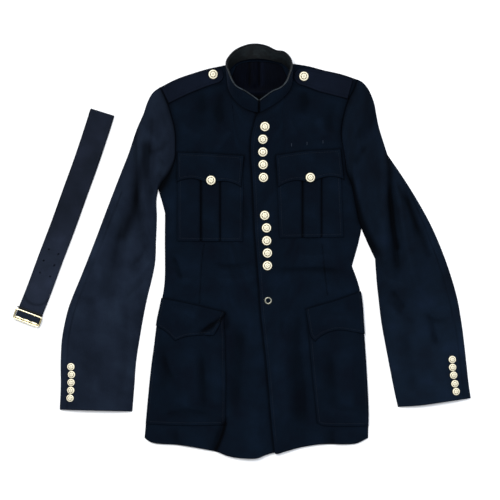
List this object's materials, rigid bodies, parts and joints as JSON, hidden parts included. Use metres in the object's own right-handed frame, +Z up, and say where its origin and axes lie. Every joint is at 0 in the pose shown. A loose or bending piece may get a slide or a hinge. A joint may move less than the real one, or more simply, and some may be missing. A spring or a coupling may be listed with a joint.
{
  "type": "dress uniform jacket",
  "caption": "Dark navy dress uniform jacket laid flat with its cloth belt: standing collar, shoulder straps, flapped pockets, metal buttons down the front and at the cuffs.",
  "frame": {"origin": "on the underside of the back panel, at the middle of the jacket's width and near the middle of its length, where it rests on a surface", "axes": "+Z is up from the surface the jacket lies on, +X is the wearer's left, +Y runs from the hem to the collar"},
  "size_m": [0.916, 0.8295, 0.0481],
  "materials": {
    "wool_serge": "dark navy wool serge",
    "collar_leather": "black leather",
    "back_lining": "navy satin lining",
    "button_metal": "pale gilt, stamped",
    "buckle_gilt": "polished gilt",
    "keeper_black": "black enamel"
  },
  "bodies": {
    "root": {"back": "wool_serge", "front_left": "wool_serge", "front_right": "wool_serge", "top_sleeve_left": "wool_serge", "top_sleeve_right": "wool_serge", "under_sleeve_left": "wool_serge", "under_sleeve_right": "wool_serge", "collar": "wool_serge", "chest_pocket_left": "wool_serge", "chest_pocket_right": "wool_serge", "chest_flap_left": "wool_serge", "chest_flap_right": "wool_serge", "lower_pocket_left": "wool_serge", "lower_pocket_right": "wool_serge", "lower_flap_left": "wool_serge", "lower_flap_right": "wool_serge", "shoulder_strap_left": "wool_serge", "shoulder_strap_right": "wool_serge", "belt": "wool_serge", "collar_lining": "collar_leather", "collar_binding": "collar_leather", "neck_lining": "back_lining", "front_button_01": "button_metal", "front_button_02": "button_metal", "front_button_03": "button_metal", "front_button_04": "button_metal", "front_button_05": "button_metal", "front_button_06": "button_metal", "front_button_07": "button_metal", "front_button_08": "button_metal", "front_button_09": "button_metal", "front_button_10": "button_metal", "chest_button_left": "button_metal", "chest_button_right": "button_metal", "shoulder_button_left": "button_metal", "shoulder_button_right": "button_metal", "cuff_button_left_1": "button_metal", "cuff_button_left_2": "button_metal", "cuff_button_left_3": "button_metal", "cuff_button_left_4": "button_metal", "cuff_button_left_5": "button_metal", "cuff_button_right_1": "button_metal", "cuff_button_right_2": "button_metal", "cuff_button_right_3": "button_metal", "cuff_button_right_4": "button_metal", "cuff_button_right_5": "button_metal", "belt_hook_eyelet": "button_metal", "buckle_frame": "buckle_gilt", "buckle_knuckle_1": "buckle_gilt", "buckle_knuckle_2": "buckle_gilt", "buckle_knuckle_3": "buckle_gilt", "buckle_keeper": "keeper_black"}
  },
  "joints": []
}
